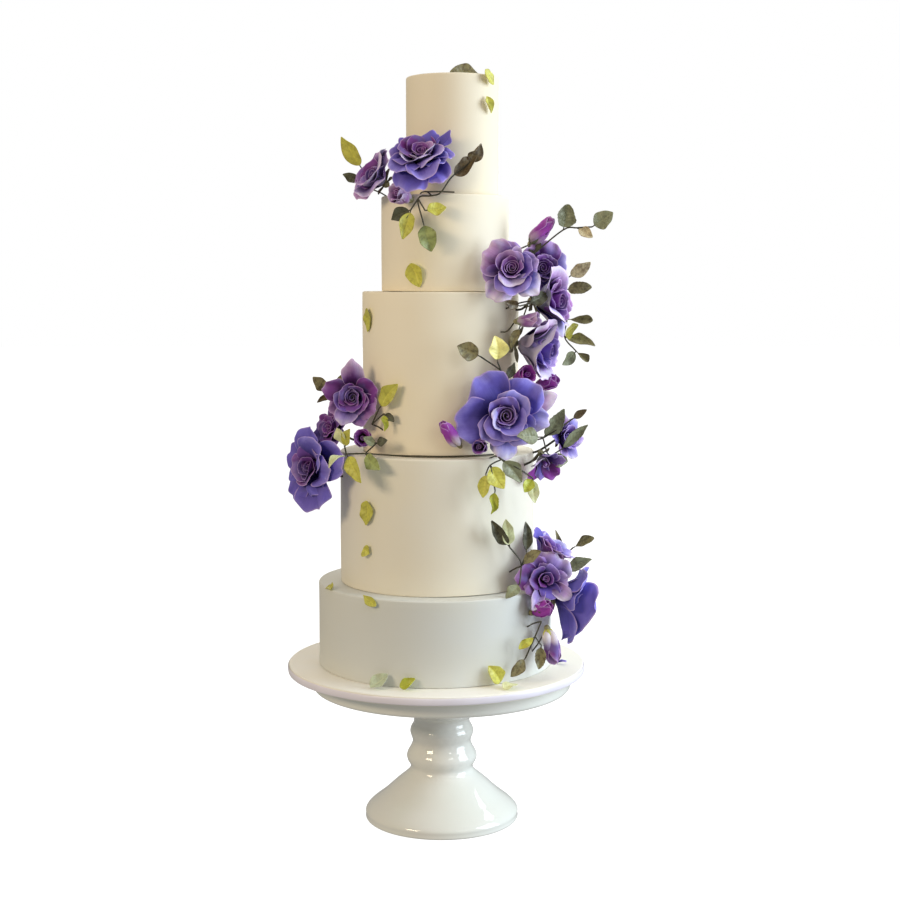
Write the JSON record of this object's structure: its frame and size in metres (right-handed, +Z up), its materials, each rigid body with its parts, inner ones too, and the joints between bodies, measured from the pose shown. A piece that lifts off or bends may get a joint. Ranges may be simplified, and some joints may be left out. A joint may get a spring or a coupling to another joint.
{
  "type": "tiered wedding cake",
  "caption": "Tall tiered wedding cake in smooth pale icing on a white pedestal stand, dressed with blue and purple sugar roses, buds and wired sugar leaves.",
  "frame": {"origin": "centre of the underside of the stand's foot", "axes": "+Z up along the stand, -Y the front where most of the flowers show, +X to the viewer's right"},
  "size_m": [0.346, 0.3224, 0.8114],
  "materials": {
    "stand_glaze": "glossy white glaze",
    "board_icing": "matt sugar paste",
    "ribbon_satin": "satin ribbon",
    "icing_cream": "smooth matt icing",
    "icing_grey": "smooth matt icing",
    "petal_blue": "dusted sugar paste",
    "petal_purple": "dusted sugar paste",
    "leaf_lime": "dusted sugar paste",
    "leaf_green": "dusted sugar paste",
    "leaf_sage": "dusted sugar paste",
    "leaf_olive": "dusted sugar paste"
  },
  "bodies": {
    "root": {"stand": "stand_glaze", "board": "board_icing", "board_ribbon": "ribbon_satin", "tier_1": "icing_grey", "tier_2": "icing_cream", "tier_3": "icing_cream", "tier_4": "icing_cream", "tier_5": "icing_cream", "rose_top_front": "petal_blue", "rose_top_side": "petal_purple", "rose_high_front": "petal_blue", "rose_high_back": "petal_purple", "rose_high_side": "petal_blue", "rose_high_low": "petal_purple", "rose_mid_main": "petal_blue", "flower_mid_side": "petal_purple", "flower_mid_low": "petal_blue", "rose_left_upper": "petal_purple", "rose_left_back": "petal_blue", "rose_left_lower": "petal_purple", "rose_low_back": "petal_blue", "rose_low_front": "petal_purple", "rose_low_side": "petal_blue", "bud_top": "petal_purple", "bud_high": "petal_purple", "bud_high_inner": "petal_purple", "bud_mid_upper": "petal_purple", "bud_mid_side": "petal_purple", "bud_mid_front": "petal_purple", "bud_mid_small": "petal_purple", "bud_low_round": "petal_purple", "bud_low_hanging": "petal_purple", "bud_left_small": "petal_purple", "sprig_top_left": "leaf_lime", "sprig_top_front": "leaf_green", "sprig_high_right": "leaf_sage", "sprig_high_side": "leaf_olive", "sprig_high_low": "leaf_olive", "sprig_mid_left": "leaf_olive", "sprig_mid_right": "leaf_sage", "sprig_mid_hanging": "leaf_lime", "sprig_left_upper": "leaf_lime", "sprig_left_back": "leaf_olive", "sprig_left_lower": "leaf_lime", "sprig_low_upper": "leaf_green", "sprig_low_side": "leaf_olive", "sprig_low_hanging": "leaf_lime", "leaf_on_top": "leaf_green", "leaf_top_rim": "leaf_lime", "leaf_tier_5": "leaf_lime", "leaf_tier_4": "leaf_lime", "leaf_tier_3": "leaf_lime", "leaf_tier_2_upper": "leaf_lime", "leaf_tier_2_lower": "leaf_lime", "leaf_ledge_edge": "leaf_lime", "leaf_ledge_front": "leaf_lime", "leaf_board_left": "leaf_sage", "leaf_board_front": "leaf_lime", "leaf_board_right": "leaf_lime", "leaf_board_flat": "leaf_lime"}
  },
  "joints": []
}
